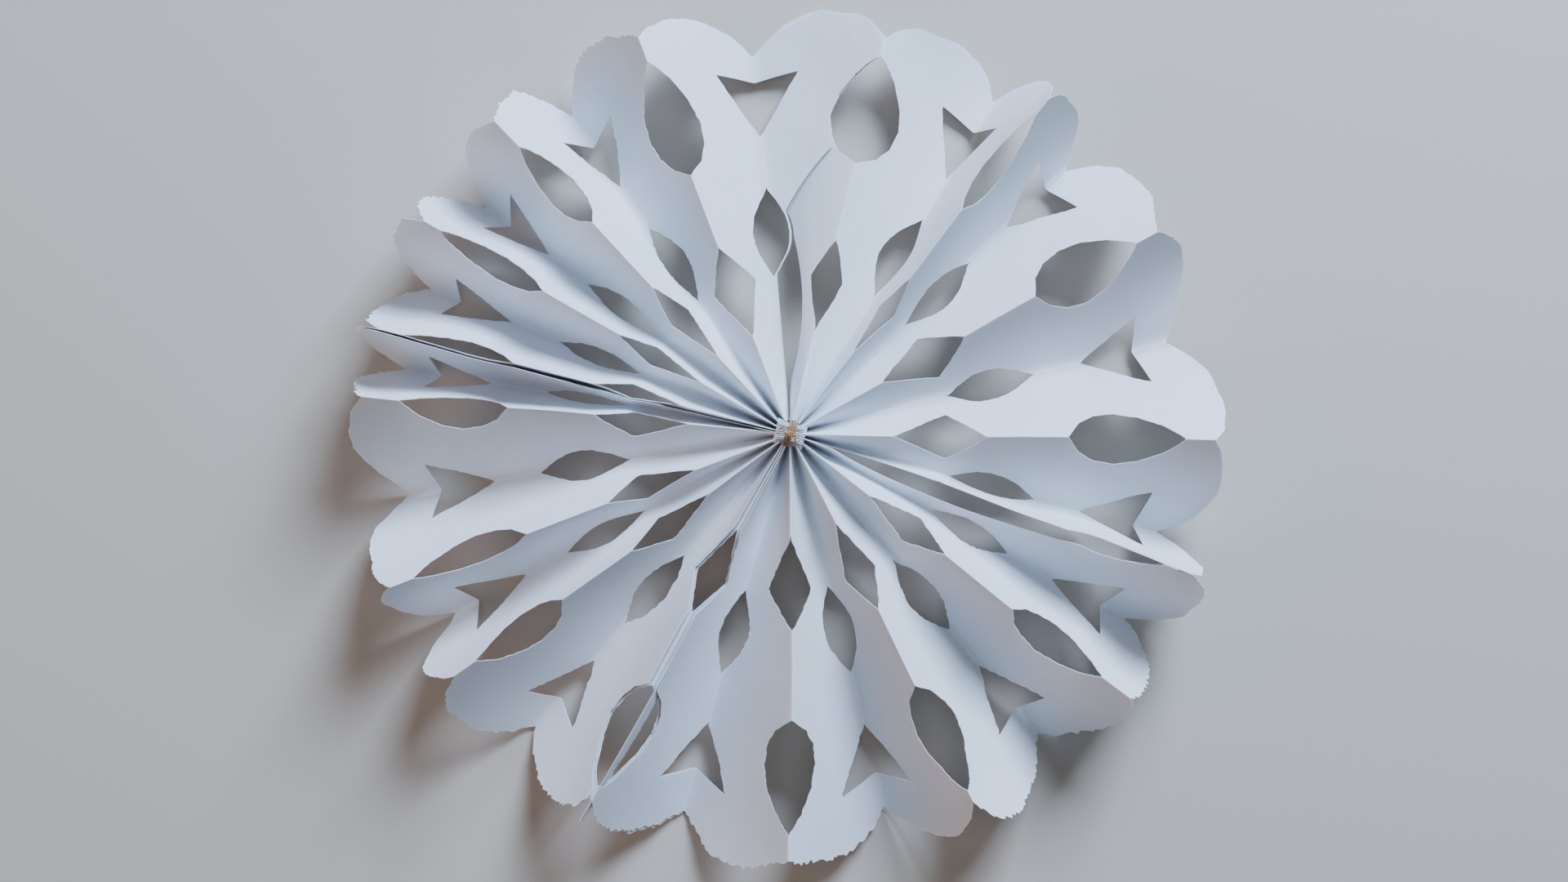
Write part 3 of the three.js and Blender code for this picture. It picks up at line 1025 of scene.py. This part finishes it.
    def _seam_dab(self) -> None:
        """The lumpy bead of glue that holds the seam's raw edges together at the rim."""
        along = self.pleats.folds.folds[0]
        across = unit(np.cross(UP, along))
        up = np.cross(along, across)
        polar, turn = np.meshgrid(
            np.linspace(0.05, np.pi - 0.05, 20), np.linspace(0, 2 * np.pi, 29)[:-1], indexing="ij"
        )
        lump = 1 + 0.12 * np.sin(3 * turn + 1.3) * np.sin(2 * polar)
        length, width, height = self.dab_half
        reach = (
            (length * lump * np.cos(polar))[..., None] * along
            + (width * lump * np.sin(polar) * np.cos(turn))[..., None] * across
            + (height * lump * np.sin(polar) * np.sin(turn))[..., None] * up
        )
        centre = middle_of(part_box("seam_glue_dab"))
        piece = make_mesh("seam_glue_bead", *closed_tube(centre + reach))
        piece.data.materials.append(self.glue)
        self._place_glue(piece, self.pleats.folds.panels - 1, "seam_glue_dab")


def closed_tube(rings: Array) -> tuple[Array, Array]:
    """Join rings of points into a tube and close both ends with a fan to a middle point.

    Args:
        rings: Points as rings, spokes, xyz.

    Returns:
        Points and faces, facing out.
    """
    count, spokes = rings.shape[:2]
    points = np.concatenate([rings.reshape(-1, 3), rings[0].mean(0)[None], rings[-1].mean(0)[None]])
    numbers = np.arange(count * spokes).reshape(count, spokes)
    wrapped = np.concatenate([numbers, numbers[:, :1]], axis=1)
    side = grid_quads(wrapped)
    first, last = (np.full(spokes, count * spokes + end) for end in range(2))
    start = np.stack([wrapped[0, :-1], wrapped[0, 1:], first, first], axis=1)
    end = np.stack([wrapped[-1, 1:], wrapped[-1, :-1], last, last], axis=1)
    quads = np.concatenate([side, start, end])
    outward = rings - rings.mean(1, keepdims=True)
    normals = vertex_normals(points, side)[: count * spokes].reshape(rings.shape)
    if (outward * normals).sum() < 0:
        closing = (quads[:, 2] == quads[:, 3])[:, None]
        quads = np.where(closing, quads[:, [1, 0, 2, 3]], quads[:, ::-1])
    return points, quads


# ---- the tied waist ----------------------------------------------------------------------


@dataclass
class TiedWaist:
    """The gathered middle of both sheets and the twine that ties it, which all stay still."""

    centre: Array
    paper: Material
    twine: Material
    turn_deg: float = -14.0
    radius: float = 0.25 * MM
    half_across: float = 2.79 * MM
    half_up: float = 4.52 * MM
    squareness: float = 0.4
    turns: int = 3
    pitch: float = 0.62 * MM
    strands: int = 3
    strand_depth: float = 0.16
    # How far the painted groove shade reaches, as a share of a strand's crest.
    groove_shade_reach: float = 0.75
    twist_length: float = 1.5 * MM
    bite: float = 1.6
    bundle_length: float = 7.2 * MM
    bundle_flare: float = 0.75 * MM
    bundle_droop: tuple[float, float] = (0.9 * MM, 2.2 * MM)
    fold_pitch: float = 0.42 * MM
    groove: float = 0.8 * MM
    knot_radius: float = 0.75 * MM
    knot_squeeze: Triple = (1.05, 0.75, 0.6)
    tail_start: float = 0.7 * MM
    tail_length: float = 2.0 * MM
    tail_sway: Triple = (0.5 * MM, 0.9 * MM, 0.5 * MM)
    tail_azimuths: tuple[float, float] = (150.0, 318.0)

    def _turned(self, points: Array) -> Array:
        """Turn points about the vertical to the waist's heading and move them to its centre."""
        angle = math.radians(self.turn_deg)
        cos, sin = math.cos(angle), math.sin(angle)
        matrix = np.array([[cos, -sin, 0], [sin, cos, 0], [0, 0, 1]])
        return points @ matrix.T + self.centre

    def _spun(self, name: str, path: Array, radius: Array | float, node: str) -> None:
        """Sweep a section of spun strands along a path.

        The section's radius swells once for each strand, and turns as it goes along. Its frame is
        carried along the path by projecting the last one.

        Args:
            name: The piece's name.
            path: The twine's middle line.
            radius: Its radius, at each point or everywhere.
            node: The CAD node that it stands for.
        """
        tangent = unit(np.gradient(path, axis=0))
        side = np.empty_like(path)
        side[0] = unit(np.cross(tangent[0], UP + 0.01))
        for index in range(1, len(path)):
            flat = side[index - 1] - tangent[index] * (side[index - 1] @ tangent[index])
            side[index] = unit(flat)
        other = np.cross(tangent, side)
        length = np.concatenate([[0], np.cumsum(np.linalg.norm(np.diff(path, axis=0), axis=1))])
        spokes = np.linspace(0, 2 * np.pi, 19)[:-1]
        twist = np.pi * length[:, None] / self.twist_length
        crest = np.abs(np.cos(self.strands * (spokes[None, :] - twist) / 2))
        swell = 1 - self.strand_depth * (1 - crest)
        reach = np.broadcast_to(radius, len(path))[:, None] * swell
        rings = (
            path[:, None, :]
            + (reach * np.cos(spokes))[..., None] * side[:, None, :]
            + (reach * np.sin(spokes))[..., None] * other[:, None, :]
        )
        piece = make_mesh(name, *closed_tube(rings), sharp_deg=80)
        # Where the twine is painted with groove shade: between the strands.
        groove = np.clip(1 - crest / self.groove_shade_reach, 0, 1).ravel()
        put_attribute(piece, "strand_groove_shade", np.concatenate([groove, [0.5, 0.5]]))
        piece.data.materials.append(self.twine)
        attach(piece, "waist")
        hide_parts(node)

    def build(self) -> None:
        """Make both gathered bundles, then the turns, the knot and its two tails."""
        self._bundle("sheet_a_waist", 1)
        self._bundle("sheet_b_waist", -1)
        self._coil()
        self._knot(middle_of(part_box("thread_knot")))
        self._tails(middle_of(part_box("thread_knot")))
        LOG.info("waist tied")

    def _bundle(self, node: str, side: int) -> None:
        """One sheet's gathered middle: a block of crushed pleats, pinched where the twine bites.

        Its section is a box whose top and bottom are cut into a triangle wave, one tooth for each
        fold and each of its own height. Along the strip it flares by the square of the distance.

        Args:
            node: The CAD node that it stands for.
            side: 1 for the sheet on +Y of the tie, -1 for the other.
        """
        rng = np.random.default_rng(31 + side)
        top = self.half_up - self.bite * self.radius
        width = self.half_across - self.bite * self.radius
        place = np.linspace(-1, 1, 25)[:, None]
        flare = place**2
        across = np.linspace(0.03, 1, 64)[None, :]
        tooth = 2 * np.abs((across * width / self.fold_pitch) % 1 - 0.5)
        heights = np.interp(across, np.linspace(0, 1, 9), rng.uniform(-0.3, 0.25, 9)) * MM
        reach = width * across * (1 + 0.3 * flare)
        at_sides, at_ends = self.bundle_droop
        crest = top + self.bundle_flare * flare - self.groove * tooth + heights
        crest = crest - at_sides * across**4 - at_ends * np.abs(place) ** 6
        strip = np.broadcast_to(place * self.bundle_length / 2, reach.shape)
        ridge = np.stack([strip, side * reach, crest], axis=-1)
        floor = ridge[:, ::-1] * np.array([1, 1, -1])
        points, quads = closed_tube(self._turned(np.concatenate([ridge, floor], axis=1)))
        piece = make_mesh(f"{node}_bundle", points, quads, sharp_deg=30)
        # The whole bundle is painted evenly paler.
        put_attribute(piece, "fold_highlight_and_wear", np.full(len(points), 0.3))
        piece.data.materials.append(self.paper)
        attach(piece, "waist")
        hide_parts(node)

    def _coil(self) -> None:
        """The twine's turns: a rounded square about both stacks, drawn out along them."""
        step = np.linspace(0, self.turns, self.turns * 72 + 1)
        turn = 2 * np.pi * step + np.pi / 2
        across, up = (
            half * np.sign(wave) * np.abs(wave) ** self.squareness
            for half, wave in ((self.half_across, np.cos(turn)), (self.half_up, np.sin(turn)))
        )
        path = np.stack([self.pitch * (step - self.turns / 2), across, up], axis=1)
        for _ in range(3):
            path[1:-1] = (path[:-2] + 2 * path[1:-1] + path[2:]) / 4
        self._spun("twine_turns", self._turned(path), self.radius, "thread_tie")

    def _knot(self, middle: Array) -> None:
        """A tight overhand knot about a point: a trefoil curve, squeezed flat."""
        turn = np.linspace(0, 2 * np.pi, 160)[:-1]
        ring = 2 + np.cos(3 * turn)
        curve = (ring * np.cos(2 * turn), ring * np.sin(2 * turn), 1.6 * np.sin(3 * turn))
        size = np.array(self.knot_squeeze) * (self.knot_radius - self.radius * 0.4)
        path = np.stack(curve, axis=1) / 3 * size + middle
        self._spun("twine_knot", path, self.radius, "thread_knot")

    def _tails(self, middle: Array) -> None:
        """Two cut ends that leave the knot, droop and thin out where the strands fray."""
        step = np.linspace(0, 1, 48)
        rise, fall, bend = self.tail_sway
        reach = self.tail_start + step * self.tail_length
        lift = rise * np.sin(np.pi * step) - fall * step
        sway = bend * np.sin(2.2 * np.pi * step)
        for index, azimuth in enumerate(self.tail_azimuths, start=1):
            cos, sin = math.cos(math.radians(azimuth)), math.sin(math.radians(azimuth))
            path = np.stack([reach * cos - sway * sin, reach * sin + sway * cos, lift], axis=1)
            radius = self.radius * (1 - 0.25 * step**3)
            self._spun(f"twine_tail_{index}", middle + path, radius, f"thread_tail_{index}")


# ---- the studio --------------------------------------------------------------------------


@dataclass
class Studio:
    """A pale floor, soft lights and a camera that looks straight down at the star."""

    focal_mm: float = 50.0
    sensor_mm: float = 36.0
    view_width: float = 0.3685
    ridge_height: float = 0.020
    aim: tuple[float, float] = (-0.001, -0.0019)
    floor_size: float = 3.0
    floor_drop: float = 0.2 * MM

    def build(self) -> None:
        """Set the camera, the floor, the lights and the soft surroundings."""
        self._camera()
        self._floor()
        self._area("key_light", (0.42, 0.85, 0.62), 0.5, 34.5, "#c9dfff")
        self._area("side_fill", (-0.85, -0.25, 0.35), 0.6, 2.6, "#ffc896")
        self._area("top_fill", (0.0, 0.0, 1.5), 0.9, 2.5, "#e6eeff")
        world = bpy.data.worlds.new("soft_studio")
        bpy.context.scene.world = world
        world.use_nodes = True
        background = world.node_tree.nodes["Background"]
        background.inputs["Color"].default_value = srgb("#dfe5ee")
        background.inputs["Strength"].default_value = 0.07

    def _camera(self) -> None:
        """A camera square to the table, as far off as its lens needs for the view's width."""
        data = bpy.data.cameras.new("camera")
        data.lens = self.focal_mm
        data.sensor_width = self.sensor_mm
        camera = bpy.data.objects.new("camera", data)
        bpy.context.scene.collection.objects.link(camera)
        distance = self.view_width * self.focal_mm / self.sensor_mm
        camera.location = (*self.aim, distance + self.ridge_height)
        bpy.context.scene.camera = camera

    def _floor(self) -> None:
        """One flat square under the star."""
        corners = np.array([[-1, -1, 0], [1, -1, 0], [1, 1, 0], [-1, 1, 0]])
        corners = corners * self.floor_size / 2 - self.floor_drop * UP
        floor = make_mesh("studio_floor", corners, np.array([[0, 1, 2, 3]]))
        floor.data.materials.append(StudioFloor().material())

    @staticmethod
    def _area(name: str, place: Triple, size: float, power: float, colour: str) -> None:
        """A square soft light that faces the star.

        Args:
            name: The light's name.
            place: Where it hangs.
            size: Its side.
            power: Its power in watts.
            colour: Its colour in hex.
        """
        data = bpy.data.lights.new(name, "AREA")
        data.size = size
        data.energy = power
        data.color = srgb(colour)[:3]
        light = bpy.data.objects.new(name, data)
        bpy.context.scene.collection.objects.link(light)
        light.location = place
        direction = -np.array(place)
        pitch = math.acos(-direction[2] / np.linalg.norm(direction))
        light.rotation_euler = (pitch, 0, math.atan2(-direction[0], direction[1]))


def main() -> None:
    """Build the studio, the star and its waist."""
    logging.basicConfig(level=logging.INFO, format="%(name)s: %(message)s")
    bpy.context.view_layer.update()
    Studio().build()
    paper = CopierPaper().material()
    folds = FoldFrame()
    Star(Pleats(folds), paper, DriedGlue().material()).build()
    TiedWaist(folds.centre, paper, CottonTwine().material()).build()
    LOG.info("boxes written")


if __name__ == "__main__":
    main()
